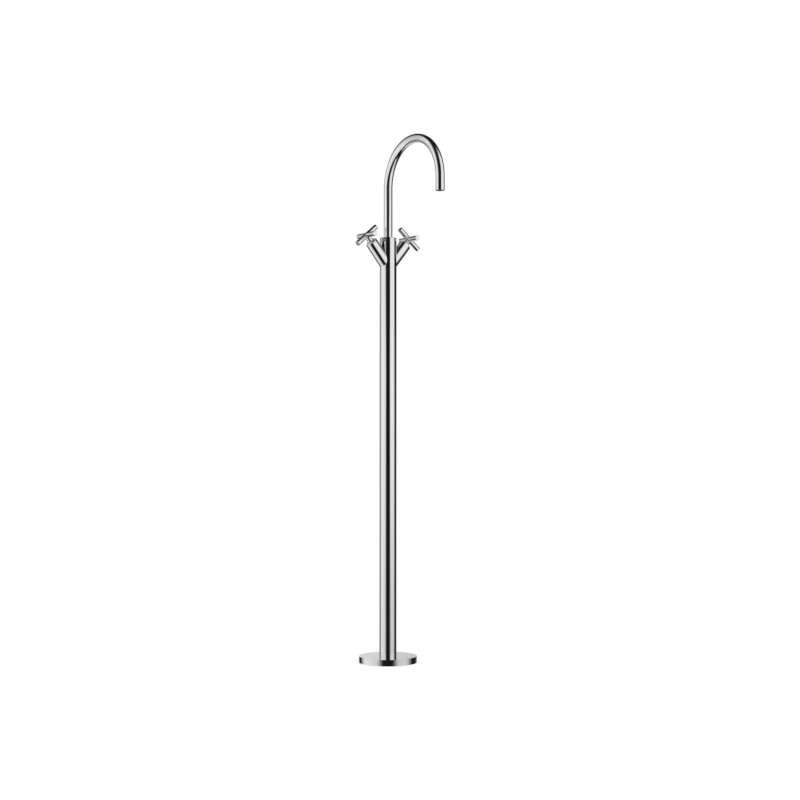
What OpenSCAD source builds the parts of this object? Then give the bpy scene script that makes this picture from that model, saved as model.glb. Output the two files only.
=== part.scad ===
// Floor-standing basin mixer with two cross handles on slanted branches and a swivelling arched spout.
// Millimetres, +Z up. The origin is on the column's axis at floor level, and the spout points along -Y.
// Hot is the user's left, along -X, and cold is the right, along +X.

/* [Column] */
// Outside diameter of the column and of the mixer head
column_d = 38; // [34:0.5:46]
// Wall of the column tube
column_wall = 2; // [1.5:0.1:3]
// Height of the top of the column above the floor
column_top_h = 945; // [800:1:1000]
// Length of the mixer head that shows above the column tube, with its top ring
head_l = 84; // [80:1:110]
// Length of the head's spigot inside the column tube
head_spigot_l = 24; // [16:1:40]

/* [Spout] */
// Outside diameter of the spout tube
spout_d = 20; // [18:0.5:22]
// Wall of the spout tube
spout_wall = 1.5; // [1:0.1:2]
// Distance from the column's axis to the outlet's axis
spout_reach = 192; // [150:1:240]
// Height of the outlet above the floor
outlet_h = 1024.5; // [990:0.5:1080]
// Straight length of tube between the arch and the outlet
spout_drop = 31.5; // [25:0.5:60]
// Diameter of the spigot that turns in the mixer head
nose_d = 15.9; // [14:0.1:16.5]
// Length of the spigot below its flange
nose_l = 15; // [12:0.5:20]
// Bore of the spigot
nose_bore_d = 10; // [7:0.5:11]
// Diameter of the flange that keeps the spout in the head
flange_d = 24; // [22:0.5:27]
// Thickness of that flange
flange_t = 4; // [2.5:0.5:5]
// Length of the spigot's sleeve inside the spout tube
sleeve_l = 12; // [6:1:20]
// Number of O-rings on the spigot
spout_seal_count = 2; // [1:1:2]
// Thickness of the O-rings on the spigot
spout_seal_d = 1.5; // [1.2:0.1:1.6]
// Thickness of the plastic ring that the spout turns on
glide_t = 2; // [1:0.5:3]

/* [Top ring] */
// Height of the ring that closes the head round the spout
ring_h = 6; // [4:0.5:8]
// Depth of the recess in the head under that ring
recess_depth = 12; // [10:0.5:14]
// Chamfer on the ring's top edge
ring_chamfer = 0.8; // [0.3:0.1:1.5]

/* [Branches] */
// Angle of each branch from the vertical
branch_angle = 40; // [38:0.5:44]
// Depth below the column's top at which the branch axes meet
branch_drop = 67; // [62:0.5:72]
// Outside diameter of each branch
branch_d = 28; // [24:0.5:30]
// Length of each branch along its axis, to the face of its bonnet
branch_l = 75; // [72:0.5:85]
// Bore of each branch, which takes the cartridge
branch_bore_d = 18; // [17.5:0.1:19]
// Distance along a branch's axis to the seat at the bottom of its bore
seat_s = 22; // [20:0.5:24]
// Height of the bonnet that shows at the end of a branch
bonnet_h = 6; // [4:0.5:8]
// Length of the bonnet's spigot inside the branch
bonnet_spigot_l = 5.5; // [3:0.5:6]
// Height of the slope round the bonnet's face
bonnet_slope_h = 3.5; // [1:0.5:3.5]
// Width of that slope
bonnet_slope_w = 6; // [1:0.5:6.5]

/* [Cross handles] */
// Diameter of the bars of a cross handle
bar_d = 11.5; // [8:0.5:13]
// Length of each bar from end to end
bar_l = 66; // [50:1:80]
// Chamfer on the ends of the bars
bar_chamfer = 0.5; // [0.2:0.1:1.5]
// Height of the bars' centre line above the bonnet's face
bar_standoff = 15; // [14:0.5:22]
// Diameter of the neck below the bars
neck_d = 13.5; // [11:0.5:14]
// Depth that the neck reaches into the bonnet
neck_dip = 2; // [1:0.5:4]
// Diameter of the set screw in the neck
set_screw_d = 3; // [2.5:0.5:4]
// Height of the set screw above the bonnet's face
set_screw_s = 4; // [3:0.5:5]

/* [Cartridges] */
// Length of the cartridge body
cartridge_l = 36.5; // [35:0.5:38]
// Thickness of the seal under a cartridge
seat_seal_t = 2.5; // [1.5:0.5:3]
// Bore of that seal
seat_seal_bore_d = 10.4; // [8:0.1:12]
// Diameter of the chamber for the ceramic discs
disc_bore_d = 14; // [13:0.1:14.5]
// Thickness of the fixed ceramic disc
fixed_disc_t = 3.5; // [2.5:0.5:4]
// Thickness of the moving ceramic disc
moving_disc_t = 3; // [2.5:0.5:4]
// Inner radius of the waterways through the discs
port_inner_r = 1.8; // [1:0.1:2.5]
// Outer radius of the waterways through the discs
port_outer_r = 4.8; // [4:0.1:5]
// Angle of each waterway through a disc
port_angle = 80; // [50:1:85]
// Diameter of the spindle in its bearing
spindle_d = 8; // [7:0.1:8.5]
// Diameter of the spindle's splined tip
spindle_tip_d = 6; // [5:0.1:6.5]
// Height of the bar that drives the moving disc
driver_t = 4; // [3:0.5:5]
// Width of the driving bar
driver_w = 5; // [4:0.5:7]
// Width of the tongue under the driving bar
tongue_w = 3; // [2:0.5:3.5]
// Height of that tongue
tongue_h = 1.1; // [0.6:0.1:1.5]
// Width across the flats of the cartridge's hexagon
hex_af = 15; // [14:0.1:15.2]
// Length of the hexagon
hex_l = 8; // [5:0.5:9]
// Length of the cartridge's thread
thread_l = 11; // [8:0.5:12]
// Thickness of the O-rings on the spindle
spindle_seal_d = 1.1; // [0.8:0.1:1.3]
// Thickness of the clip that holds the spindle down
clip_t = 0.8; // [0.5:0.1:1.2]
// Outside diameter of that clip
clip_d = 10.4; // [9:0.1:11.5]

/* [Supply] */
// Distance of each supply pipe from the column's axis
pipe_x = 8; // [7:0.1:8.2]
// Outside diameter of the supply pipes
pipe_d = 10; // [8:0.5:10]
// Wall of the supply pipes
pipe_wall = 1; // [0.7:0.1:1.5]
// Depth of the sockets that take the pipes' ends
pipe_socket_l = 13; // [10:0.5:14]
// Thickness of the O-rings round the pipes' ends
pipe_seal_d = 1.1; // [0.8:0.1:1.2]
// Diameter of the waterways in the block and in the head
way_d = 7; // [5:0.5:8]
// Minor diameter of the two threaded inlets, for hose tails with an M10 thread
inlet_d = 8.9; // [8:0.1:9.5]
// Depth of the threaded inlets
inlet_l = 11; // [8:0.5:12]
// Height of the inlet block
block_h = 26; // [25.5:0.5:35]
// Number of plastic spacers that hold the pipes apart
spacer_count = 2; // [1:1:4]
// Height of each spacer
spacer_h = 8; // [4:0.5:14]

/* [Foot] */
// Diameter of the round cover on the floor
cover_d = 129; // [122:1:150]
// Wall round the cover's rim
cover_wall = 3; // [2.5:0.1:4]
// Thickness of the cover's top
cover_top_t = 2.7; // [2.4:0.1:4]
// Rounding of the cover's top edge
cover_round = 1; // [0.3:0.1:2]
// Thickness of the floor plate
plate_t = 8; // [7:0.5:12]
// Gap between the floor plate and the cover's rim
plate_edge_gap = 3; // [1:0.5:4]
// Diameter of the flange welded to the column's foot
foot_d = 60; // [58:1:64]
// Thickness of the foot flange
foot_t = 3; // [2.5:0.5:5]
// Number of floor anchors, and of screws in the foot flange
bolt_count = 4; // [3:1:5]
// Diameter of the circle that the floor anchors lie on
anchor_pcd = 92; // [86:1:96]
// Diameter of the anchor holes, for M8 countersunk anchors
anchor_d = 9; // [7:0.5:10]
// Diameter of the countersinks over the anchor holes
anchor_sink_d = 17; // [14:0.5:18]
// Diameter of the circle that the foot screws lie on
foot_screw_pcd = 49; // [48.5:0.1:50]
// Diameter of the foot screws
foot_screw_d = 5; // [4:0.5:5]
// Diameter of the foot screws' countersunk heads
foot_screw_head_d = 9.2; // [8:0.1:9.6]
// Thickness of the O-ring between the cover and the column
cover_seal_d = 1.5; // [1:0.1:1.6]
// Thickness of the seal in the cover's rim
rim_seal_w = 1; // [0.6:0.1:1.4]
// Height of the seal in the cover's rim
rim_seal_h = 1.4; // [1:0.1:2.5]

/* [Aerator] */
// Bore at the outlet that takes the aerator
aerator_bore_d = 18; // [17.5:0.1:18.4]
// Depth of that bore
aerator_bore_l = 18.5; // [15:0.5:22]
// Distance of the aerator above the edge of the outlet
aerator_recess = 0.6; // [0.5:0.1:3]
// Thickness of the washer above the aerator
washer_t = 1.5; // [1:0.1:2]
// Inside diameter of the aerator's housing
housing_d = 15.4; // [14:0.1:16]
// Height of the ledge at the top of the housing
ledge_h = 4; // [2:0.5:5]
// Inside diameter of that ledge
ledge_d = 13; // [11:0.1:13.5]
// Thickness of the filter disc
filter_t = 1; // [0.5:0.1:1.5]
// Diameter of the jet holes in the aerator's insert
jet_d = 1.7; // [1:0.1:1.9]
// Spacing of the jet holes
jet_pitch = 2.5; // [2.3:0.1:2.8]

/* [Clearances] */
// Radial gap of a running fit
running_gap = 0.05; // [0.02:0.01:0.08]
// Gap between faces that slide on each other
face_gap = 0.05; // [0.02:0.01:0.1]
// Radial gap round fixed parts that slip together
slip_gap = 0.1; // [0.05:0.05:0.2]
// Gap round a piece that must stay free of its neighbour
free_gap = 0.3; // [0.2:0.05:0.4]
// Gap that a seal leaves to its groove and its wall
seal_gap = 0.03; // [0.01:0.01:0.04]

/* [Hidden] */

$fn = 96;
hot = -1;
cold = 1;
// Overlap that keeps cuts and joined solids from sharing a face
eps = 0.5;

chrome = [0.86, 0.87, 0.88];
raw_brass = [0.78, 0.62, 0.30];
steel = [0.58, 0.59, 0.61];
copper = [0.78, 0.45, 0.30];
rubber = [0.08, 0.08, 0.09];
ceramic = [0.93, 0.92, 0.88];
nylon = [0.80, 0.80, 0.78];
dark_plastic = [0.10, 0.10, 0.11];

// Heights in the head, from the top down
tube_bore_r = column_d / 2 - column_wall;
head_top_z = column_top_h - ring_h;
joint_z = column_top_h - head_l;
recess_z = head_top_z - recess_depth;
flange_z = recess_z + glide_t + face_gap;
flange_top_z = flange_z + flange_t;
skirt_z = flange_top_z + face_gap;
recess_r = flange_d / 2 + free_gap;
chamber_r = nose_d / 2 + running_gap;
chamber_room = 7;
chamber_z = flange_z - nose_l - chamber_room;
cross_port_d = 5;
cross_port_z = chamber_z + cross_port_d / 2;

// Spout
arch_r = spout_reach / 2;
spring_z = outlet_h + spout_drop;
spout_bore_r = spout_d / 2 - spout_wall;

// Branches, measured along their axes from the point where these meet
branch_z = column_top_h - branch_drop;
branch_bore_r = branch_bore_d / 2;
arm_end_s = branch_l - bonnet_h;
bars_s = branch_l + bar_standoff;
neck_s = branch_l - neck_dip;
neck_bore_r = spindle_tip_d / 2 + slip_gap;
socket_end_s = bars_s - bar_d / 2;
bonnet_bore_r = neck_d / 2 + free_gap;
bonnet_face_w = 0.5;
bonnet_face_r = max(branch_d / 2 - bonnet_slope_w, bonnet_bore_r + bonnet_face_w);

// Cartridge, measured from its own lower face
cartridge_s = seat_s + seat_seal_t;
cartridge_top_s = cartridge_s + cartridge_l;
cartridge_r = branch_bore_r - slip_gap;
land_l = 4;
annulus_l = 10;
annulus_r = disc_bore_d / 2 + 1.1;
fixed_disc_r = disc_bore_d / 2 - slip_gap;
moving_disc_r = disc_bore_d / 2 - free_gap;
moving_disc_s = cartridge_s + fixed_disc_t + face_gap;
driver_s = moving_disc_s + moving_disc_t;
driver_top_s = driver_s + driver_t;
bearing_s = driver_top_s + slip_gap;
thread_s = cartridge_s + land_l + annulus_l;
hex_s = thread_s + thread_l;
clip_s = cartridge_top_s + slip_gap;
clip_groove_depth = 0.9;
clip_groove_r = spindle_d / 2 - clip_groove_depth;
shoulder_s = clip_s + clip_t + 1;
spindle_seal_groove_r = spindle_d / 2 - spindle_seal_d;
body_seal_d = 1.2;
body_seal_s = thread_s + 2;

// Foot
plate_d = cover_d - 2 * cover_wall - 2 * plate_edge_gap;
foot_top_z = plate_t + foot_t;
cover_under_z = foot_top_z + free_gap;
cover_h = cover_under_z + cover_top_t;
cover_bore_r = column_d / 2 + free_gap;
block_r = pipe_x + pipe_d / 2 + slip_gap + pipe_seal_d + 1.3;
collar_t = 3;
collar_r = tube_bore_r + 1.5;
pipe_end_gap = 0.5;
pipe_low_z = block_h - pipe_socket_l + pipe_end_gap;
head_low_z = joint_z - head_spigot_l;
pipe_top_z = head_low_z + pipe_socket_l - pipe_end_gap;
foot_screw_end_z = 1;
foot_screw_head_h = (foot_screw_head_d - foot_screw_d) / 2;
anchor_sink_h = (anchor_sink_d - anchor_d) / 2;

// Aerator, measured up from the edge of the outlet
housing_top = aerator_bore_l - washer_t;
ledge_low = housing_top - ledge_h;
insert_low = aerator_recess + 0.8;
jet_rings = 2;

// Places a shape on a branch's axis, at the distance s from the point where the axes meet
module on_branch(side, s) {
    rotate([0, 0, side < 0 ? 180 : 0])
        translate([0, 0, branch_z])
            rotate([0, branch_angle, 0])
                translate([0, 0, s])
                    children();
}

// Repeats a shape round the vertical axis, on a circle of the given diameter
module on_circle(pcd, count, start = 45) {
    for (i = [0 : count - 1])
        rotate([0, 0, start + i * 360 / count])
            translate([pcd / 2, 0, 0])
                children();
}

// Tube or ring that stands on z = 0
module ring(outer_r, inner_r, h) {
    difference() {
        cylinder(r = outer_r, h = h);
        translate([0, 0, -eps])
            cylinder(r = inner_r, h = h + 2 * eps);
    }
}

// O-ring that fills the space between two radii, less the seal's gap on both sides
module o_ring(inner_r, outer_r) {
    rotate_extrude()
        translate([(inner_r + outer_r) / 2, 0])
            circle(d = outer_r - inner_r - 2 * seal_gap, $fn = 48);
}

// Round groove, centred on z = 0, cut into a wall between two radii
module groove(inner_r, outer_r, w) {
    translate([0, 0, -w / 2])
        ring(outer_r, inner_r, w);
}

// Straight rod on z = 0 with both its ends chamfered
module chamfered_rod(d, l, c) {
    translate([0, 0, -l / 2])
        cylinder(d1 = d - 2 * c, d2 = d, h = c);
    translate([0, 0, -l / 2 + c])
        cylinder(d = d, h = l - 2 * c);
    translate([0, 0, l / 2 - c])
        cylinder(d1 = d, d2 = d - 2 * c, h = c);
}

// Two opposite waterways through a ceramic disc, as a flat shape
module disc_ports() {
    far = 3 * port_outer_r;
    intersection() {
        difference() {
            circle(r = port_outer_r);
            circle(r = port_inner_r);
        }
        for (turn = [0, 180])
            rotate(turn)
                polygon([
                    [0, 0],
                    [far * cos(port_angle / 2), -far * sin(port_angle / 2)],
                    [far * cos(port_angle / 2), far * sin(port_angle / 2)]
                ]);
    }
}

// Steel plate that is anchored to the floor and carries everything
module floor_plate() {
    color(steel)
        difference() {
            cylinder(d = plate_d, h = plate_t);
            translate([0, 0, -eps])
                cylinder(r = block_r + slip_gap, h = plate_t + 2 * eps);
            translate([0, 0, plate_t - collar_t])
                cylinder(r = collar_r + slip_gap, h = collar_t + eps);
            on_circle(anchor_pcd, bolt_count) {
                translate([0, 0, -eps])
                    cylinder(d = anchor_d, h = plate_t + 2 * eps);
                translate([0, 0, plate_t - anchor_sink_h])
                    cylinder(d1 = anchor_d, d2 = anchor_sink_d, h = anchor_sink_h);
                translate([0, 0, plate_t])
                    cylinder(d = anchor_sink_d, h = eps);
            }
            on_circle(foot_screw_pcd, bolt_count, 0)
                translate([0, 0, -eps])
                    cylinder(r = foot_screw_d / 2 + running_gap, h = plate_t + 2 * eps);
        }
}

// Brass block with the two threaded inlets below and the pipes' sockets above
module inlet_block() {
    color(raw_brass)
        difference() {
            union() {
                cylinder(r = block_r, h = block_h);
                translate([0, 0, plate_t - collar_t])
                    cylinder(r = collar_r, h = collar_t);
            }
            for (side = [hot, cold])
                translate([side * pipe_x, 0, 0]) {
                    translate([0, 0, -eps])
                        cylinder(d = inlet_d, h = inlet_l + eps);
                    cylinder(d = way_d, h = block_h);
                    pipe_socket(block_h, -1);
                }
        }
}

// Space for the end of a pipe and for its O-ring, from a face at height z
module pipe_socket(z, up) {
    socket_r = pipe_d / 2 + slip_gap;
    translate([0, 0, up > 0 ? z - eps : z - pipe_socket_l])
        cylinder(r = socket_r, h = pipe_socket_l + eps);
    translate([0, 0, z + up * pipe_socket_l / 2])
        groove(socket_r - eps, pipe_d / 2 + pipe_seal_d + 2 * seal_gap, pipe_seal_d + slip_gap);
}

// Countersunk screws that fasten the column's foot to the floor plate
module foot_screws() {
    color(steel)
        on_circle(foot_screw_pcd, bolt_count, 0) {
            difference() {
                union() {
                    translate([0, 0, foot_screw_end_z])
                        cylinder(d = foot_screw_d, h = foot_top_z - foot_screw_end_z);
                    translate([0, 0, foot_top_z - foot_screw_head_h])
                        cylinder(d1 = foot_screw_d, d2 = foot_screw_head_d, h = foot_screw_head_h);
                }
                translate([0, 0, foot_top_z - foot_screw_head_h])
                    cylinder(d = foot_screw_d * 0.7, h = foot_screw_head_h + eps, $fn = 6);
            }
        }
}

// Round cover over the floor plate, which lifts up along the column
module base_cover() {
    rim_mid_r = cover_d / 2 - cover_wall / 2;
    color(chrome)
        difference() {
            rotate_extrude()
                difference() {
                    union() {
                        square([cover_d / 2 - cover_round, cover_h]);
                        square([cover_d / 2, cover_h - cover_round]);
                        translate([cover_d / 2 - cover_round, cover_h - cover_round])
                            circle(r = cover_round);
                    }
                    translate([-eps, -eps])
                        square([cover_d / 2 - cover_wall + eps, cover_under_z + eps]);
                    translate([-eps, -eps])
                        square([cover_bore_r + eps, cover_h + 2 * eps]);
                }
            translate([0, 0, cover_h - cover_top_t / 2])
                groove(cover_bore_r - eps, column_d / 2 + cover_seal_d + 2 * seal_gap,
                    cover_seal_d + slip_gap);
            translate([0, 0, -eps])
                ring(rim_mid_r + rim_seal_w / 2 + slip_gap, rim_mid_r - rim_seal_w / 2 - slip_gap,
                    rim_seal_h + slip_gap + eps);
        }
}

// O-ring between the cover and the column
module cover_seal() {
    color(rubber)
        translate([0, 0, cover_h - cover_top_t / 2])
            o_ring(column_d / 2, column_d / 2 + cover_seal_d + 2 * seal_gap);
}

// Flat rubber ring in the cover's rim, which keeps water out
module rim_seal() {
    rim_mid_r = cover_d / 2 - cover_wall / 2;
    color(rubber)
        ring(rim_mid_r + rim_seal_w / 2, rim_mid_r - rim_seal_w / 2, rim_seal_h);
}

// Long tube with a flange welded to its foot
module column_tube() {
    color(chrome)
        difference() {
            union() {
                translate([0, 0, plate_t])
                    cylinder(d = column_d, h = joint_z - plate_t);
                translate([0, 0, plate_t])
                    cylinder(d = foot_d, h = foot_t);
            }
            translate([0, 0, plate_t - eps])
                cylinder(r = tube_bore_r, h = joint_z - plate_t + 2 * eps);
            on_circle(foot_screw_pcd, bolt_count, 0) {
                translate([0, 0, plate_t - eps])
                    cylinder(r = foot_screw_d / 2 + slip_gap, h = foot_t + 2 * eps);
                translate([0, 0, foot_top_z - foot_screw_head_h - slip_gap])
                    cylinder(d1 = foot_screw_d, d2 = foot_screw_head_d + 2 * slip_gap,
                        h = foot_screw_head_h + slip_gap);
            }
        }
}

// Plastic discs that hold the two pipes apart inside the column
module pipe_spacers() {
    room = head_low_z - block_h;
    color(nylon)
        for (i = [1 : spacer_count])
            translate([0, 0, block_h + room * i / (spacer_count + 1) - spacer_h / 2])
                difference() {
                    cylinder(r = tube_bore_r - slip_gap, h = spacer_h);
                    for (side = [hot, cold])
                        translate([side * pipe_x, 0, -eps])
                            cylinder(r = pipe_d / 2 + slip_gap, h = spacer_h + 2 * eps);
                }
}

// Pipe from the inlet block up to the mixer head
module supply_pipe(side) {
    color(copper)
        translate([side * pipe_x, 0, pipe_low_z])
            ring(pipe_d / 2, pipe_d / 2 - pipe_wall, pipe_top_z - pipe_low_z);
}

// O-rings at the two ends of a pipe
module pipe_seals(side) {
    color(rubber)
        for (z = [block_h - pipe_socket_l / 2, head_low_z + pipe_socket_l / 2])
            translate([side * pipe_x, 0, z])
                o_ring(pipe_d / 2, pipe_d / 2 + pipe_seal_d + 2 * seal_gap);
}

// Cast head with its two branches, the cartridges' bores and the waterways
module mixer_body() {
    way_s = pipe_x / sin(branch_angle);
    way_z = branch_z + pipe_x / tan(branch_angle);
    port_reach = (cross_port_z - branch_z) * tan(branch_angle)
        - branch_bore_r / cos(branch_angle) + 3;
    color(chrome)
        difference() {
            union() {
                translate([0, 0, joint_z])
                    cylinder(d = column_d, h = head_top_z - joint_z);
                translate([0, 0, head_low_z])
                    cylinder(r = tube_bore_r - slip_gap, h = head_spigot_l + eps);
                for (side = [hot, cold])
                    on_branch(side, 0)
                        cylinder(d = branch_d, h = arm_end_s);
            }
            translate([0, 0, recess_z])
                cylinder(r = recess_r, h = recess_depth + eps);
            translate([0, 0, chamber_z])
                cylinder(r = chamber_r, h = recess_z - chamber_z + eps);
            translate([0, 0, cross_port_z])
                rotate([0, 90, 0])
                    cylinder(d = cross_port_d, h = 2 * port_reach, center = true);
            for (side = [hot, cold]) {
                on_branch(side, seat_s)
                    cylinder(r = branch_bore_r, h = arm_end_s - seat_s + eps);
                on_branch(side, way_s)
                    cylinder(d = way_d, h = seat_s - way_s + eps);
                translate([side * pipe_x, 0, head_low_z]) {
                    pipe_socket(0, 1);
                    cylinder(d = way_d, h = way_z - head_low_z);
                }
            }
        }
}

// Ring that closes the head round the spout and keeps the spout down
module top_ring() {
    skirt_l = head_top_z - skirt_z;
    color(chrome)
        difference() {
            union() {
                translate([0, 0, head_top_z])
                    cylinder(d = column_d, h = ring_h - ring_chamfer);
                translate([0, 0, column_top_h - ring_chamfer])
                    cylinder(d1 = column_d, d2 = column_d - 2 * ring_chamfer, h = ring_chamfer);
                translate([0, 0, skirt_z])
                    cylinder(r = recess_r - slip_gap, h = skirt_l + eps);
            }
            translate([0, 0, skirt_z - eps])
                cylinder(r = spout_d / 2 + running_gap, h = skirt_l + ring_h + 2 * eps);
        }
}

// Plastic ring that carries the spout's flange
module spout_glide_ring() {
    color(nylon)
        translate([0, 0, recess_z])
            ring(recess_r - slip_gap, chamber_r + slip_gap, glide_t);
}

// Rubber seal between the bottom of a branch's bore and its cartridge
module seat_seal(side) {
    color(rubber)
        on_branch(side, seat_s)
            ring(branch_bore_r - slip_gap, seat_seal_bore_d / 2, seat_seal_t);
}

// Ceramic disc that stands still in the cartridge
module fixed_disc(side) {
    color(ceramic)
        on_branch(side, cartridge_s)
            linear_extrude(fixed_disc_t)
                difference() {
                    circle(r = fixed_disc_r);
                    disc_ports();
                }
}

// Brass body of a cartridge, with its windows, thread, hexagon and bearing
module cartridge_body(side) {
    window_w = 6;
    collar_l = cartridge_top_s - hex_s - hex_l;
    color(raw_brass)
        on_branch(side, 0)
            difference() {
                union() {
                    translate([0, 0, cartridge_s])
                        cylinder(r = cartridge_r, h = land_l);
                    translate([0, 0, cartridge_s + land_l - eps])
                        cylinder(r = annulus_r, h = annulus_l + 2 * eps);
                    translate([0, 0, thread_s])
                        cylinder(r = cartridge_r, h = thread_l);
                    translate([0, 0, hex_s])
                        cylinder(d = hex_af / cos(30), h = hex_l, $fn = 6);
                    translate([0, 0, hex_s + hex_l - eps])
                        cylinder(d = clip_d + 1, h = collar_l + eps);
                }
                translate([0, 0, cartridge_s - eps])
                    cylinder(d = disc_bore_d, h = bearing_s - cartridge_s + eps);
                cylinder(r = spindle_d / 2 + running_gap, h = cartridge_top_s + eps);
                translate([-window_w / 2, -2 * annulus_r, driver_s])
                    cube([window_w, 4 * annulus_r, bearing_s - driver_s]);
                translate([0, 0, body_seal_s])
                    groove(cartridge_r - body_seal_d, cartridge_r + eps, body_seal_d + slip_gap);
            }
}

// O-ring round a cartridge's body
module cartridge_seal(side) {
    color(rubber)
        on_branch(side, body_seal_s)
            o_ring(cartridge_r - body_seal_d, branch_bore_r);
}

// Sloped end of a branch, screwed into its bore
module bonnet(side) {
    color(chrome)
        on_branch(side, 0)
            difference() {
                union() {
                    translate([0, 0, arm_end_s])
                        cylinder(d = branch_d, h = bonnet_h - bonnet_slope_h);
                    translate([0, 0, branch_l - bonnet_slope_h])
                        cylinder(r1 = branch_d / 2, r2 = bonnet_face_r, h = bonnet_slope_h);
                    translate([0, 0, arm_end_s - bonnet_spigot_l])
                        cylinder(r = branch_bore_r - slip_gap, h = bonnet_spigot_l + eps);
                }
                translate([0, 0, arm_end_s - bonnet_spigot_l - eps])
                    cylinder(r = bonnet_bore_r, h = bonnet_h + bonnet_spigot_l + 2 * eps);
            }
}

// Bent tube from the head to the outlet
module spout_tube() {
    color(chrome)
        difference() {
            spout_shape(spout_d / 2, 0);
            spout_shape(spout_bore_r, eps);
            translate([0, -spout_reach, outlet_h - eps])
                cylinder(d = aerator_bore_d, h = aerator_bore_l + eps);
        }
}

// Round bar along the spout's centre line, made longer at both ends by extra
module spout_shape(r, extra) {
    translate([0, 0, flange_top_z - extra])
        cylinder(r = r, h = spring_z - flange_top_z + extra);
    translate([0, -arch_r, spring_z])
        rotate([90, 0, 90])
            rotate_extrude(angle = 180)
                translate([arch_r, 0])
                    circle(r = r);
    translate([0, -spout_reach, outlet_h - extra])
        cylinder(r = r, h = spout_drop + extra);
}

// Spigot under the spout tube, with a flange to keep it in the head
module spout_spigot() {
    color(raw_brass)
        difference() {
            union() {
                translate([0, 0, flange_z - nose_l])
                    cylinder(d = nose_d, h = nose_l + eps);
                translate([0, 0, flange_z])
                    cylinder(d = flange_d, h = flange_t);
                translate([0, 0, flange_z])
                    cylinder(r = spout_bore_r - slip_gap, h = flange_t + sleeve_l);
            }
            translate([0, 0, flange_z - nose_l - eps])
                cylinder(d = nose_bore_d, h = nose_l + flange_t + sleeve_l + 2 * eps);
            for (i = [1 : spout_seal_count])
                translate([0, 0, spout_seal_z(i)])
                    groove(nose_d / 2 - spout_seal_d, nose_d / 2 + eps, spout_seal_d + slip_gap);
        }
}

function spout_seal_z(i) = flange_z - nose_l * i / (spout_seal_count + 1);

// O-rings round the spout's spigot
module spout_seals() {
    color(rubber)
        for (i = [1 : spout_seal_count])
            translate([0, 0, spout_seal_z(i)])
                o_ring(nose_d / 2 - spout_seal_d, chamber_r);
}

// Places a shape at a height above the edge of the outlet
module at_outlet(h) {
    translate([0, -spout_reach, outlet_h + h])
        children();
}

// Threaded housing of the aerator, hidden in the outlet
module aerator_housing() {
    outer_r = aerator_bore_d / 2 - slip_gap;
    color(dark_plastic)
        at_outlet(0)
            difference() {
                translate([0, 0, aerator_recess])
                    cylinder(r = outer_r, h = housing_top - aerator_recess);
                translate([0, 0, aerator_recess - eps])
                    cylinder(d = housing_d, h = ledge_low - aerator_recess + eps);
                cylinder(d = ledge_d, h = housing_top + eps);
            }
}

// Insert with the jet holes that shape the stream
module aerator_insert() {
    color(dark_plastic)
        at_outlet(insert_low)
            difference() {
                cylinder(r = housing_d / 2 - slip_gap, h = ledge_low - insert_low);
                jet_holes(ledge_low - insert_low);
            }
}

// Holes on a hexagonal grid, inside the given number of rings
module jet_holes(h) {
    for (row = [-jet_rings : jet_rings])
        for (i = [0 : 2 * jet_rings - abs(row)])
            translate([
                (i - jet_rings + abs(row) / 2) * jet_pitch,
                row * jet_pitch * sin(60),
                -eps
            ])
                cylinder(d = jet_d, h = h + 2 * eps, $fn = 24);
}

// Fine filter that lies on the insert
module aerator_filter() {
    color(steel)
        at_outlet(ledge_low)
            difference() {
                cylinder(r = ledge_d / 2 - slip_gap, h = filter_t);
                jet_holes(filter_t);
            }
}

// Rubber washer between the aerator and the shoulder in the spout
module aerator_washer() {
    color(rubber)
        at_outlet(housing_top)
            ring(aerator_bore_d / 2 - slip_gap, ledge_d / 2, washer_t);
}

// Spindle with the bar that drives the disc, O-ring grooves, clip groove and splined tip
module spindle(side) {
    color(raw_brass)
        on_branch(side, 0)
            difference() {
                union() {
                    intersection() {
                        translate([0, 0, driver_s])
                            cylinder(r = moving_disc_r, h = driver_t);
                        translate([-driver_w / 2, -disc_bore_d, driver_s - eps])
                            cube([driver_w, 2 * disc_bore_d, driver_t + 2 * eps]);
                    }
                    translate([-tongue_w / 2, -moving_disc_r * 0.8, driver_s - tongue_h])
                        cube([tongue_w, 2 * moving_disc_r * 0.8, tongue_h + eps]);
                    translate([0, 0, driver_s])
                        cylinder(d = spindle_d, h = shoulder_s - driver_s);
                    translate([0, 0, shoulder_s - eps])
                        spline(socket_end_s - slip_gap - shoulder_s + eps);
                }
                for (i = [1, 2])
                    translate([0, 0, spindle_seal_s(i)])
                        groove(spindle_seal_groove_r, spindle_d / 2 + eps,
                            spindle_seal_d + slip_gap);
                translate([0, 0, clip_s + clip_t / 2])
                    groove(clip_groove_r, spindle_d / 2 + eps, clip_t + slip_gap);
            }
}

function spindle_seal_s(i) = bearing_s + (cartridge_top_s - bearing_s) * i / 3;

// Star-shaped spline made of squares turned against each other
module spline(h) {
    side_l = spindle_tip_d / sqrt(2);
    linear_extrude(h)
        for (i = [0 : 4])
            rotate(i * 18)
                square(side_l, center = true);
}

// Ceramic disc that turns with the spindle, at rest with its waterways closed
module moving_disc(side) {
    color(ceramic)
        on_branch(side, moving_disc_s)
            difference() {
                linear_extrude(moving_disc_t)
                    difference() {
                        circle(r = moving_disc_r);
                        rotate(90)
                            disc_ports();
                    }
                translate([
                    -tongue_w / 2 - slip_gap,
                    -moving_disc_r * 0.8 - slip_gap,
                    moving_disc_t - tongue_h - slip_gap
                ])
                    cube([
                        tongue_w + 2 * slip_gap,
                        2 * (moving_disc_r * 0.8 + slip_gap),
                        tongue_h + 2 * slip_gap
                    ]);
            }
}

// O-rings round the spindle
module spindle_seals(side) {
    color(rubber)
        for (i = [1, 2])
            on_branch(side, spindle_seal_s(i))
                o_ring(spindle_seal_groove_r, spindle_d / 2 + running_gap);
}

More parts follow.
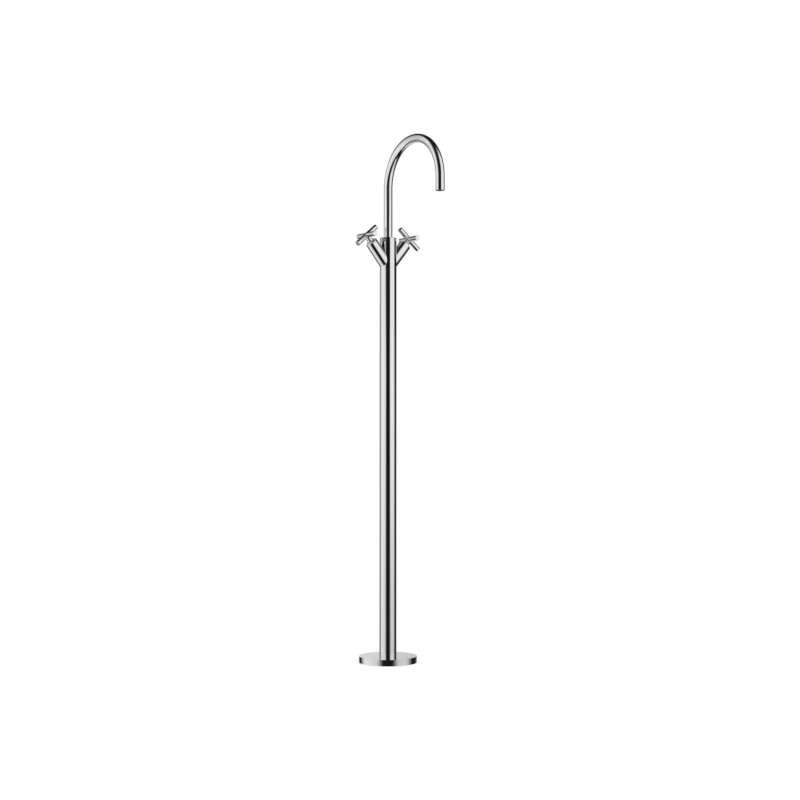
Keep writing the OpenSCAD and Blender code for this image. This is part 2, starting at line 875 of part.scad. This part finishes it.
// Open clip in the spindle's groove, which keeps the spindle in the cartridge
module spindle_clip(side) {
    opening = 50;
    color(steel)
        on_branch(side, clip_s)
            linear_extrude(clip_t)
                difference() {
                    circle(d = clip_d);
                    circle(r = clip_groove_r + slip_gap / 2);
                    polygon([
                        [0, 0],
                        [clip_d, -clip_d * tan(opening / 2)],
                        [clip_d, clip_d * tan(opening / 2)]
                    ]);
                }
}

// Cross handle: two bars that cross over a slim neck
module cross_handle(side) {
    color(chrome)
        on_branch(side, 0)
            difference() {
                union() {
                    translate([0, 0, bars_s])
                        rotate([0, 90, 0])
                            chamfered_rod(bar_d, bar_l, bar_chamfer);
                    translate([0, 0, bars_s])
                        rotate([90, 0, 0])
                            chamfered_rod(bar_d, bar_l, bar_chamfer);
                    translate([0, 0, neck_s])
                        cylinder(d = neck_d, h = bars_s - neck_s);
                }
                translate([0, 0, neck_s - eps])
                    cylinder(r = neck_bore_r, h = socket_end_s - neck_s + eps);
                translate([0, 0, branch_l + set_screw_s])
                    rotate([0, 90, 0])
                        cylinder(r = set_screw_d / 2 + running_gap, h = neck_d);
            }
}

// Set screw that holds a handle on its spindle
module handle_screw(side) {
    tip_r = spindle_tip_d / 2 + running_gap;
    screw_l = neck_d / 2 - slip_gap - tip_r;
    color(steel)
        on_branch(side, branch_l + set_screw_s)
            rotate([0, 90, 0])
                translate([0, 0, tip_r])
                    difference() {
                        cylinder(d = set_screw_d, h = screw_l);
                        translate([0, 0, screw_l / 2])
                            cylinder(d = set_screw_d * 0.55, h = screw_l, $fn = 6);
                    }
}

floor_plate();
inlet_block();
foot_screws();
base_cover();
cover_seal();
rim_seal();
column_tube();
pipe_spacers();
supply_pipe(hot);  // hot_supply_pipe
supply_pipe(cold);  // cold_supply_pipe
pipe_seals(hot);  // hot_pipe_seals
pipe_seals(cold);  // cold_pipe_seals
mixer_body();
top_ring();
spout_glide_ring();
seat_seal(hot);  // hot_seat_seal
fixed_disc(hot);  // hot_fixed_disc
cartridge_body(hot);  // hot_cartridge_body
cartridge_seal(hot);  // hot_cartridge_seal
bonnet(hot);  // hot_bonnet
seat_seal(cold);  // cold_seat_seal
fixed_disc(cold);  // cold_fixed_disc
cartridge_body(cold);  // cold_cartridge_body
cartridge_seal(cold);  // cold_cartridge_seal
bonnet(cold);  // cold_bonnet
spout_tube();
spout_spigot();
spout_seals();
aerator_housing();
aerator_insert();
aerator_filter();
aerator_washer();
spindle(hot);  // hot_spindle
moving_disc(hot);  // hot_moving_disc
spindle_seals(hot);  // hot_spindle_seals
spindle_clip(hot);  // hot_spindle_clip
cross_handle(hot);  // hot_cross_handle
handle_screw(hot);  // hot_handle_screw
spindle(cold);  // cold_spindle
moving_disc(cold);  // cold_moving_disc
spindle_seals(cold);  // cold_spindle_seals
spindle_clip(cold);  // cold_spindle_clip
cross_handle(cold);  // cold_cross_handle
handle_screw(cold);  // cold_handle_screw
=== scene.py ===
import math

import bmesh
import bpy
from mathutils import Matrix


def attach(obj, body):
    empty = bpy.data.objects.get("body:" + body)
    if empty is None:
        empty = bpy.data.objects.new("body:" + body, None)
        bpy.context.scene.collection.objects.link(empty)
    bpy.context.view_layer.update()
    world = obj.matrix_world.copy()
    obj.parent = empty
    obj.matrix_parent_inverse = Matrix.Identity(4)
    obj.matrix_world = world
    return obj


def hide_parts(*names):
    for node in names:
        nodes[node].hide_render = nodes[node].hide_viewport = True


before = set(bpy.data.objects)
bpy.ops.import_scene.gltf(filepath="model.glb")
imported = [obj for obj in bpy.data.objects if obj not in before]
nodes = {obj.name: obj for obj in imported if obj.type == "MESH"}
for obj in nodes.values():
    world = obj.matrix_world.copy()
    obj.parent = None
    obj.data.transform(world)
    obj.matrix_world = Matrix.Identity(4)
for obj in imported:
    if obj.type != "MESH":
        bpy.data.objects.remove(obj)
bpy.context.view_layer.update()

# Sizes of the mixer, in metres and degrees
MM = 0.001
FOOT_R = 64.5 * MM
FOOT_H = 14 * MM
FOOT_WALL = 3 * MM
FOOT_TOP_WALL = 2.7 * MM
FOOT_GAP = 0.3 * MM
SEAL_GROOVE_IN = 2.1 * MM
SEAL_GROOVE_OUT = 0.9 * MM
SEAL_GROOVE_H = 1.5 * MM
COLUMN_R = 19 * MM
COLUMN_TOP = 945 * MM
RING_H = 6 * MM
RING_SKIRT_R = 12.2 * MM
RING_SKIRT_Z = 933.1 * MM
TUBE_R = 10 * MM
TUBE_WALL = 1 * MM
TUBE_GAP = 0.05 * MM
TUBE_LIP = 0.25 * MM
TUBE_FOOT_Z = 933.4 * MM
ARCH_R = 96 * MM
SPRING_Z = 1056 * MM
OUTLET_Z = 1024.5 * MM
AERATOR_RECESS = 0.6 * MM
AERATOR_R = 8.9 * MM
AERATOR_BORE_R = 7.7 * MM
AERATOR_LEDGE_R = 6.5 * MM
AERATOR_LEDGE_Z = 13 * MM
AERATOR_TOP_Z = 17 * MM
BRANCH_ANGLE = 40
BRANCH_Z = 878 * MM
BRANCH_R = 14 * MM
BRANCH_END = 75 * MM
BONNET_H = 6 * MM
BONNET_SLOPE_H = 3.5 * MM
BONNET_FACE_R = 8 * MM
BONNET_GAP = 0.3 * MM
BONNET_SPIGOT_R = 8.9 * MM
BONNET_SPIGOT_L = 5.5 * MM
BARS_AT = 90 * MM
BAR_R = 5.75 * MM
BAR_L = 66 * MM
BAR_ROUNDING = 0.8 * MM
NECK_R = 6.75 * MM
NECK_FOOT = 73 * MM
NECK_TOP = 88.7 * MM
SPINDLE_HOLE_R = 3.1 * MM
SCREW_AT = 79 * MM
SCREW_HOLE_R = 1.55 * MM
# Corners nearer than this are one corner
MERGE = 0.001 * MM
# How many facets a turned shape, the foot, a slim round shape and a small hole have
TURNED_STEPS = 128
FOOT_STEPS = 192
SLIM_STEPS = 96
HOLE_STEPS = 40


class Wire:
    """A socket of a shader node. Python's operators on it add the Math nodes."""

    def __init__(self, net, socket):
        self.net = net
        self.socket = socket

    def __add__(self, other):
        return self.net.math("ADD", self, other)

    def __sub__(self, other):
        return self.net.math("SUBTRACT", self, other)

    def __rsub__(self, other):
        return self.net.math("SUBTRACT", other, self)

    def __mul__(self, other):
        return self.net.math("MULTIPLY", self, other)

    def __truediv__(self, other):
        return self.net.math("DIVIDE", self, other)

    __radd__ = __add__
    __rmul__ = __mul__


class Net:
    """The shader nodes of one material, or of the world."""

    def __init__(self, owner):
        owner.use_nodes = True
        self.tree = owner.node_tree
        self.tree.nodes.clear()

    def node(self, kind, settings=None, sockets=None, output=0):
        """Adds a node. Its settings come first, then the values or wires of its sockets."""
        made = self.tree.nodes.new("ShaderNode" + kind)
        for name, value in (settings or {}).items():
            setattr(made, name, value)
        for name, value in (sockets or {}).items():
            if isinstance(value, Wire):
                self.tree.links.new(value.socket, made.inputs[name])
            else:
                made.inputs[name].default_value = value
        return Wire(self, made.outputs[output])

    def math(self, operation, first, second):
        return self.node("Math", {"operation": operation}, {0: first, 1: second})

    def mix(self, share, first, second):
        """Blends two colours."""
        sockets = {"Factor": share, 6: first, 7: second}
        return self.node("Mix", {"data_type": "RGBA"}, sockets, output=2)


def tint(red, green, blue):
    return (red, green, blue, 1)


def new_material(name):
    made = bpy.data.materials.new(name)
    net = Net(made)
    place = net.node("TexCoord", output="Object")
    return made, net, place


def finish_material(net, colour, metallic, roughness, normal):
    shader = net.node("BsdfPrincipled", {}, {
        "Base Color": colour,
        "Metallic": metallic,
        "Roughness": roughness,
        "Normal": normal,
    })
    out = net.tree.nodes.new("ShaderNodeOutputMaterial")
    net.tree.links.new(shader.socket, out.inputs["Surface"])


def polished_chrome():
    """Plated and polished: almost a mirror, with a trace of haze where it has been wiped."""
    made, net, place = new_material("polished_chrome")
    haze = net.node("TexNoise", {}, {"Vector": place, "Scale": 26.0, "Detail": 3.0})
    ripple = net.node("TexNoise", {}, {"Vector": place, "Scale": 140.0, "Detail": 1.0})
    colour = net.mix(haze, tint(0.80, 0.80, 0.80), tint(0.85, 0.85, 0.85))
    bump = net.node("Bump", {}, {"Height": ripple, "Strength": 0.02, "Distance": 0.0002})
    finish_material(net, colour, 1.0, 0.03 + 0.05 * haze, bump)
    return made


def grained(name, dark, light, metallic, smooth, rough, blotch_size, grain_size, stretch=(1, 1, 1)):
    """A finish with soft blotches and a fine grain, both given in metres.

    The blotches vary the sheen too, from smooth to rough.
    """
    made, net, place = new_material(name)
    place = net.node("Mapping", {}, {"Vector": place, "Scale": stretch})
    blotch = net.node("TexNoise", {}, {"Vector": place, "Scale": 1 / blotch_size, "Detail": 4.0})
    grain = net.node("TexNoise", {}, {"Vector": place, "Scale": 1 / grain_size, "Detail": 2.0})
    bump = net.node("Bump", {}, {"Height": grain, "Strength": 0.2, "Distance": 0.0001})
    colour = net.mix(0.65 * blotch + 0.35 * grain, dark, light)
    finish_material(net, colour, metallic, smooth + (rough - smooth) * blotch, bump)
    return made


finishes = {
    "chrome": polished_chrome(),
    "brass": grained(
        "turned_brass", tint(0.52, 0.36, 0.14), tint(0.86, 0.68, 0.36), 1.0, 0.18, 0.42,
        12 * MM, 0.4 * MM,
    ),
    "steel": grained(
        "blasted_steel", tint(0.36, 0.36, 0.37), tint(0.66, 0.66, 0.68), 1.0, 0.28, 0.5,
        15 * MM, 0.5 * MM,
    ),
    "copper": grained(
        "drawn_copper", tint(0.48, 0.22, 0.13), tint(0.86, 0.50, 0.35), 1.0, 0.2, 0.45,
        8 * MM, 0.5 * MM, (1, 1, 0.2),
    ),
    "rubber": grained(
        "black_rubber", tint(0.012, 0.012, 0.013), tint(0.045, 0.045, 0.046), 0.0, 0.5, 0.75,
        4 * MM, 0.3 * MM,
    ),
    "ceramic": grained(
        "ground_ceramic", tint(0.78, 0.77, 0.72), tint(0.93, 0.92, 0.88), 0.0, 0.1, 0.25,
        3 * MM, 0.2 * MM,
    ),
    "plastic": grained(
        "moulded_nylon", tint(0.66, 0.65, 0.61), tint(0.86, 0.86, 0.82), 0.0, 0.35, 0.55,
        6 * MM, 0.4 * MM,
    ),
    "dark_plastic": grained(
        "dark_insert", tint(0.006, 0.006, 0.007), tint(0.03, 0.03, 0.032), 0.0, 0.4, 0.6,
        3 * MM, 0.3 * MM,
    ),
}
# A CAD node comes with a plain material that has the name of its slot
for thing in nodes.values():
    slot = thing.material_slots[0].material.name.split(".")[0]
    thing.material_slots[0].material = finishes[slot]


# Shapes
def round_edges(bm, edges, rounding, segments=4):
    """Rounds the given edges."""
    bmesh.ops.bevel(
        bm, geom=edges, offset=rounding, offset_type="OFFSET", segments=segments, profile=0.5,
        affect="EDGES", clamp_overlap=True, material=-1,
    )


def edges_of_circle(bm, radius, height):
    """The edges round one corner of a turned shape."""
    def on_it(corner):
        off = math.hypot(corner.co.x, corner.co.y) - radius
        return abs(off) < MERGE and abs(corner.co.z - height) < MERGE

    return [edge for edge in bm.edges if on_it(edge.verts[0]) and on_it(edge.verts[1])]


def turned(outline, steps=TURNED_STEPS):
    """Spins a closed outline round the Z axis. Its corners are a radius, a height and a rounding."""
    bm = bmesh.new()
    corners = [bm.verts.new((radius, 0, height)) for radius, height, rounding in outline]
    edges = [bm.edges.new((corners[i - 1], corners[i])) for i in range(len(corners))]
    bmesh.ops.spin(
        bm, geom=corners + edges, cent=(0, 0, 0), axis=(0, 0, 1), angle=math.tau, steps=steps,
        use_merge=True,
    )
    bmesh.ops.remove_doubles(bm, verts=bm.verts, dist=MERGE)
    for radius, height, rounding in outline:
        if rounding:
            round_edges(bm, edges_of_circle(bm, radius, height), rounding)
    return bm


def rod(radius, length, rounding, sides=SLIM_STEPS):
    """Round rod along Z, its ends rounded, with its middle at the origin."""
    bm = bmesh.new()
    bmesh.ops.create_cone(
        bm, cap_ends=True, segments=sides, radius1=radius, radius2=radius, depth=length,
    )
    rims = [edge for edge in bm.edges if abs(edge.verts[0].co.z - edge.verts[1].co.z) < MERGE]
    if rounding:
        round_edges(bm, rims, rounding)
    return bm


def crossed_bars(radius, length, rounding):
    """Two bars of one thickness that cross in one plane: one spoke, mitred inside, four times round."""
    bm = rod(radius, length, rounding)
    bmesh.ops.rotate(bm, verts=bm.verts, matrix=Matrix.Rotation(math.radians(90), 3, "Y"))
    for way in ((1, 1, 0), (1, -1, 0)):
        bmesh.ops.bisect_plane(
            bm, geom=bm.verts[:] + bm.edges[:] + bm.faces[:], plane_no=way, clear_inner=True, dist=MERGE,
        )
    spoke = bm.verts[:] + bm.edges[:] + bm.faces[:]
    for quarter in (1, 2, 3):
        copy = bmesh.ops.duplicate(bm, geom=spoke)["geom"]
        corners = [part for part in copy if isinstance(part, bmesh.types.BMVert)]
        turn = Matrix.Rotation(math.radians(90 * quarter), 3, "Z")
        bmesh.ops.rotate(bm, verts=corners, matrix=turn)
    bmesh.ops.remove_doubles(bm, verts=bm.verts, dist=MERGE)
    return bm


def moved(bm, matrix):
    bmesh.ops.transform(bm, matrix=matrix, verts=bm.verts)
    return bm


def to_object(name, bm):
    bmesh.ops.remove_doubles(bm, verts=bm.verts, dist=MERGE)
    bmesh.ops.recalc_face_normals(bm, faces=bm.faces)
    mesh = bpy.data.meshes.new(name)
    bm.to_mesh(mesh)
    bm.free()
    thing = bpy.data.objects.new(name, mesh)
    bpy.context.scene.collection.objects.link(thing)
    return thing


def joined(name, shapes, cuts):
    """One solid from several closed shapes, less the cuts."""
    first = to_object(name, shapes[0])
    rest = [(to_object("shape", bm), "UNION") for bm in shapes[1:]]
    rest += [(to_object("cut", bm), "DIFFERENCE") for bm in cuts]
    for other, operation in rest:
        step = first.modifiers.new(operation.lower(), "BOOLEAN")
        step.object = other
        step.operation = operation
        step.solver = "EXACT"
    solid = bpy.data.meshes.new_from_object(first.evaluated_get(bpy.context.evaluated_depsgraph_get()))
    first.modifiers.clear()
    first.data = solid
    for other, operation in rest:
        bpy.data.objects.remove(other)
    return first


def finish_piece(thing, body, node, finish="chrome", crease=25):
    """Shades a piece smoothly but for its creases, and puts it in place of its CAD node."""
    bm = bmesh.new()
    bm.from_mesh(thing.data)
    for face in bm.faces:
        face.smooth = True
    for edge in bm.edges:
        edge.smooth = edge.calc_face_angle(0) < math.radians(crease)
    bm.to_mesh(thing.data)
    bm.free()
    thing.data.materials.clear()
    thing.data.materials.append(finishes[finish])
    shading = thing.modifiers.new("even_shading", "WEIGHTED_NORMAL")
    shading.mode = "FACE_AREA"
    shading.keep_sharp = True
    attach(thing, body)
    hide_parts(node)


def on_branch(side, along):
    """The place on a branch's axis at a distance from where the two axes meet. Hot is -1, cold 1."""
    turn = Matrix.Rotation(math.radians(90 - 90 * side), 4, "Z")
    tilt = Matrix.Rotation(math.radians(BRANCH_ANGLE), 4, "Y")
    return turn @ Matrix.Translation((0, 0, BRANCH_Z)) @ tilt @ Matrix.Translation((0, 0, along))


def foot_cover():
    """Round cover on the floor: a shallow cap with a rim, and a groove under the rim for its seal."""
    rim_r = FOOT_R - FOOT_WALL
    under = FOOT_H - FOOT_TOP_WALL
    hole_r = COLUMN_R + FOOT_GAP
    groove_in = FOOT_R - SEAL_GROOVE_IN
    groove_out = FOOT_R - SEAL_GROOVE_OUT
    outline = [
        (FOOT_R, 0, 0.2 * MM),
        (FOOT_R, FOOT_H, 0.4 * MM),
        (hole_r, FOOT_H, 0.2 * MM),
        (hole_r, under, 0),
        (rim_r, under, 0.5 * MM),
        (rim_r, 0, 0),
        (groove_in, 0, 0),
        (groove_in, SEAL_GROOVE_H, 0),
        (groove_out, SEAL_GROOVE_H, 0),
        (groove_out, 0, 0),
    ]
    finish_piece(to_object("foot_cover", turned(outline, FOOT_STEPS)), "stand", "base_cover")


def closing_ring():
    """Ring on top of the head, with a fine groove where it meets the head and a skirt inside."""
    hole_r = TUBE_R + TUBE_GAP
    under = COLUMN_TOP - RING_H
    outline = [
        (COLUMN_R, under, 0.5 * MM),
        (COLUMN_R, COLUMN_TOP, 1 * MM),
        (hole_r, COLUMN_TOP, 0.2 * MM),
        (hole_r, RING_SKIRT_Z, 0),
        (RING_SKIRT_R, RING_SKIRT_Z, 0),
        (RING_SKIRT_R, under, 0),
    ]
    finish_piece(to_object("closing_ring", turned(outline)), "stand", "top_ring")


def branch_end(side, name):
    """Bonnet: the sloped end of a branch, with a hole for the handle's neck."""
    joint = BRANCH_END - BONNET_H
    hole_r = NECK_R + BONNET_GAP
    spigot_foot = joint - BONNET_SPIGOT_L
    outline = [
        (BRANCH_R, joint, 0.2 * MM),
        (BRANCH_R, BRANCH_END - BONNET_SLOPE_H, 0.6 * MM),
        (BONNET_FACE_R, BRANCH_END, 0.3 * MM),
        (hole_r, BRANCH_END, 0.2 * MM),
        (hole_r, spigot_foot, 0),
        (BONNET_SPIGOT_R, spigot_foot, 0),
        (BONNET_SPIGOT_R, joint, 0),
    ]
    end = moved(turned(outline), on_branch(side, 0))
    finish_piece(to_object(name + "_branch_end", end), "stand", name + "_bonnet")


def cross(side, name):
    """Cross handle: two bars that cross over a slim neck, with a hole for its set screw."""
    neck = turned([
        (NECK_R, NECK_FOOT, 0.2 * MM),
        (NECK_R, NECK_TOP, 0),
        (SPINDLE_HOLE_R, NECK_TOP, 0),
        (SPINDLE_HOLE_R, NECK_FOOT, 0),
    ], SLIM_STEPS)
    bars = crossed_bars(BAR_R, BAR_L, BAR_ROUNDING)
    # The neck's facets are turned a little, so that none lies along an edge of the bars
    neck_turn = Matrix.Rotation(math.radians(1.3), 4, "Z")
    shapes = [moved(bars, on_branch(side, BARS_AT)), moved(neck, on_branch(side, 0) @ neck_turn)]
    flat = Matrix.Rotation(math.radians(90), 4, "Y") @ Matrix.Translation((0, 0, NECK_R))
    hole = moved(rod(SCREW_HOLE_R, 2 * NECK_R, 0, HOLE_STEPS), on_branch(side, SCREW_AT) @ flat)
    body = name + "_handle"
    finish_piece(joined(name + "_cross", shapes, [hole]), body, name + "_cross_handle")


def pulled(bm, edges, way):
    """Grows a wall from a loop of edges and returns the loop at its far side."""
    grown = bmesh.ops.extrude_edge_only(bm, edges=edges)["geom"]
    corners = [part for part in grown if isinstance(part, bmesh.types.BMVert)]
    bmesh.ops.translate(bm, verts=corners, vec=way)
    return corners, [part for part in grown if isinstance(part, bmesh.types.BMEdge)]


def swan_neck():
    """The spout: one tube that rises, bends over in a half circle and comes down to the outlet."""
    bm = bmesh.new()
    bmesh.ops.create_circle(bm, cap_ends=False, segments=SLIM_STEPS, radius=TUBE_R)
    bmesh.ops.translate(bm, verts=bm.verts, vec=(0, 0, TUBE_FOOT_Z))
    corners, loop = pulled(bm, bm.edges[:], (0, 0, SPRING_Z - TUBE_FOOT_Z))
    bend = bmesh.ops.spin(
        bm, geom=corners + loop, cent=(0, -ARCH_R, SPRING_Z), axis=(1, 0, 0), angle=math.pi,
        steps=TURNED_STEPS,
    )
    loop = [part for part in bend["geom_last"] if isinstance(part, bmesh.types.BMEdge)]
    pulled(bm, loop, (0, 0, OUTLET_Z - SPRING_Z))
    thing = to_object("swan_neck", bm)
    wall = thing.modifiers.new("wall", "SOLIDIFY")
    wall.thickness = TUBE_WALL
    wall.offset = -1
    lip = thing.modifiers.new("lip", "BEVEL")
    lip.width = TUBE_LIP
    lip.segments = 3
    lip.limit_method = "ANGLE"
    lip.angle_limit = math.radians(40)
    finish_piece(thing, "spout", "spout_tube")


def aerator_collar():
    """Threaded ring that holds the aerator in the outlet, with a ledge inside its top."""
    low = OUTLET_Z + AERATOR_RECESS
    ledge = OUTLET_Z + AERATOR_LEDGE_Z
    high = OUTLET_Z + AERATOR_TOP_Z
    outline = [
        (AERATOR_R, low, 0.3 * MM),
        (AERATOR_R, high, 0),
        (AERATOR_LEDGE_R, high, 0),
        (AERATOR_LEDGE_R, ledge, 0),
        (AERATOR_BORE_R, ledge, 0),
        (AERATOR_BORE_R, low, 0.3 * MM),
    ]
    collar = moved(turned(outline, SLIM_STEPS), Matrix.Translation((0, -2 * ARCH_R, 0)))
    finish_piece(to_object("aerator_collar", collar), "spout", "aerator_housing", "dark_plastic")


foot_cover()
closing_ring()
swan_neck()
aerator_collar()
for side, name in ((-1, "hot"), (1, "cold")):
    branch_end(side, name)
    cross(side, name)


# Studio. The camera's place is in metres, its turn and tilt are in degrees and its lens in millimetres
CAMERA_PLACE = (-1.8341, -2.5944, 0.4783)
CAMERA_YAW = 35.74
CAMERA_RISE = 1.87
CAMERA_LENS = 64.05
# The side of the object on which the camera stands, in degrees from +X
CAMERA_SIDE = -90 - CAMERA_YAW

# The tent is a sphere of light and dark, in metres, and the rest is in degrees as seen from its middle
TENT_RADIUS = 1.31
TENT_CENTRE = 0.73
# Between these heights the walls turn from their lower light to their upper light
LIGHT_TURNS = (-42.5, -3.3)
GAP_LIGHT = 0.0102
# "middle" is a wall's direction, counted from the camera's side. "left" and "right" are its edges: how
# far each is from the middle, and how soft it is. Both are given at the horizon, with what a degree up
# and a degree down add. "low" and "high" are where the wall fades in and out. "light" is how bright it
# is low down and high up, and what a degree to the right adds.
TENT_WALLS = [
    {
        "middle": -78,
        "left": ((-36.6, 0.14, 0), (31.8, 0.18, -0.25)),
        "right": ((51.1, -0.41, -0.11), (5.6, 0.45, 0.24)),
        "low": (-66.7, -58.7),
        "high": (64.6, 79.9),
        "light": (0.854, 0.958, -0.00318),
    },
    {
        "middle": 63,
        "left": ((-36.4, 0.11, 0.1), (-3.9, 0.32, 0.47)),
        "right": ((30.4, -0.07, -0.08), (18.0, -0.49, 0.08)),
        "low": (-65.7, -57.7),
        "high": (48.6, 74.6),
        "light": (0.705, 0.946, 0.00191),
    },
    {
        "middle": 180,
        "left": ((0.7, -1.17, -0.58), (61.4, -2.85, -0.86)),
        "right": ((26.0, 0.63, -0.1), (0.6, 0.01, -0.03)),
        "low": (-58.6, -50.6),
        "high": (27.6, 38.5),
        "light": (0.802, 1.021, 0),
    },
]


def studio_light():
    """White all round, as bright on dull surfaces as a plain grey day."""
    world = bpy.data.worlds.new("white_room")
    bpy.context.scene.world = world
    net = Net(world)
    path = net.tree.nodes.new("ShaderNodeLightPath")
    camera = Wire(net, path.outputs["Is Camera Ray"])
    glossy = Wire(net, path.outputs["Is Glossy Ray"])
    through = Wire(net, path.outputs["Is Transmission Ray"])
    seen = net.math("MINIMUM", camera + glossy + through, 1.0)
    light = net.node("Background", {}, {"Color": tint(1, 1, 1), "Strength": 0.75 + 0.25 * seen})
    out = net.tree.nodes.new("ShaderNodeOutputWorld")
    net.tree.links.new(light.socket, out.inputs["Surface"])


def ramp(net, value, low, high):
    """0 below low, 1 above high, and smooth between them."""
    settings = {"interpolation_type": "SMOOTHSTEP"}
    return net.node("MapRange", settings, {"Value": value, "From Min": low, "From Max": high})


def leaning(net, rise, at_horizon, upwards, downwards):
    """A value that changes with the height above the horizon, by so much a degree up and down."""
    down = net.math("MAXIMUM", 0 - rise, 0.0)
    up = net.math("MAXIMUM", rise, 0.0)
    return at_horizon + upwards * up + downwards * down


def past_edge(net, angle, rise, place, softness):
    """0 before an upright edge of a wall and 1 behind it."""
    reach = net.math("MAXIMUM", leaning(net, rise, *softness), 1.0)
    return ramp(net, (angle - leaning(net, rise, *place)) / reach, -1, 1)


def lit_wall(net, x, y, rise, wall):
    """How brightly one wall of the tent is lit, by the direction from the tent's middle."""
    turn = math.radians(CAMERA_SIDE + wall["middle"])
    ahead = x * math.cos(turn) + y * math.sin(turn)
    aside = y * math.cos(turn) - x * math.sin(turn)
    angle = net.math("ARCTAN2", aside, ahead) * math.degrees(1)
    mask = past_edge(net, angle, rise, *wall["left"])
    mask = mask * (1 - past_edge(net, angle, rise, *wall["right"]))
    mask = mask * ramp(net, rise, *wall["low"]) * (1 - ramp(net, rise, *wall["high"]))
    below, above, across = wall["light"]
    return mask * (below + (above - below) * ramp(net, rise, *LIGHT_TURNS) + across * angle)


def studio_tent():
    """The tent round the object: lit walls with dark gaps between. Only polished surfaces see it."""
    mesh = bpy.data.meshes.new("studio_tent")
    bm = bmesh.new()
    bmesh.ops.create_uvsphere(bm, u_segments=96, v_segments=48, radius=TENT_RADIUS)
    for face in bm.faces:
        face.smooth = True
    bm.to_mesh(mesh)
    bm.free()
    thing = bpy.data.objects.new("studio_tent", mesh)
    bpy.context.scene.collection.objects.link(thing)
    made, net, place = new_material("tent_walls")
    middle = net.node("VectorMath", {"operation": "SUBTRACT"}, {0: place, 1: (0, 0, TENT_CENTRE)})
    way = net.node("VectorMath", {"operation": "NORMALIZE"}, {0: middle})
    split = net.tree.nodes.new("ShaderNodeSeparateXYZ")
    net.tree.links.new(way.socket, split.inputs[0])
    x, y, z = (Wire(net, socket) for socket in split.outputs)
    rise = net.math("ARCSINE", z, 0.0) * math.degrees(1)
    light = GAP_LIGHT
    for wall in TENT_WALLS:
        light = light + lit_wall(net, x, y, rise, wall)
    colour = net.mix(net.math("MINIMUM", light, 1.0), tint(0, 0, 0), tint(1, 1, 1))
    glow = net.node("Emission", {}, {"Color": colour, "Strength": 1.0})
    out = net.tree.nodes.new("ShaderNodeOutputMaterial")
    net.tree.links.new(glow.socket, out.inputs["Surface"])
    mesh.materials.append(made)
    for v in mesh.vertices:
        v.co.z += TENT_CENTRE
    thing.visible_camera = False
    thing.visible_diffuse = False
    thing.visible_shadow = False
    thing.visible_volume_scatter = False


def floor():
    """White floor. It glows a little to the camera, which leaves only a faint shadow round the foot."""
    mesh = bpy.data.meshes.new("floor")
    bm = bmesh.new()
    bmesh.ops.create_grid(bm, x_segments=1, y_segments=1, size=40)
    bm.to_mesh(mesh)
    bm.free()
    thing = bpy.data.objects.new("floor", mesh)
    bpy.context.scene.collection.objects.link(thing)
    made, net, place = new_material("floor_paint")
    speck = net.node("TexNoise", {}, {"Vector": place, "Scale": 60.0, "Detail": 2.0})
    colour = net.mix(speck, tint(0.91, 0.91, 0.91), tint(0.93, 0.93, 0.93))
    paint = net.node("BsdfDiffuse", {}, {"Color": colour})
    glow = net.node("Emission", {}, {"Color": tint(1, 1, 1), "Strength": 1.14})
    path = net.tree.nodes.new("ShaderNodeLightPath")
    camera = Wire(net, path.outputs["Is Camera Ray"])
    surface = net.node("MixShader", {}, {0: 0.7 * camera, 1: paint, 2: glow})
    out = net.tree.nodes.new("ShaderNodeOutputMaterial")
    net.tree.links.new(surface.socket, out.inputs["Surface"])
    mesh.materials.append(made)
    thing.visible_glossy = False


def camera():
    data = bpy.data.cameras.new("camera")
    thing = bpy.data.objects.new("camera", data)
    bpy.context.scene.collection.objects.link(thing)
    data.sensor_width = 36
    data.lens = CAMERA_LENS
    data.clip_end = 200
    thing.location = CAMERA_PLACE
    thing.rotation_euler = (math.radians(90 + CAMERA_RISE), 0, math.radians(-CAMERA_YAW))
    bpy.context.scene.camera = thing


studio_light()
studio_tent()
floor()
camera()
bpy.context.scene.view_settings.view_transform = "Standard"
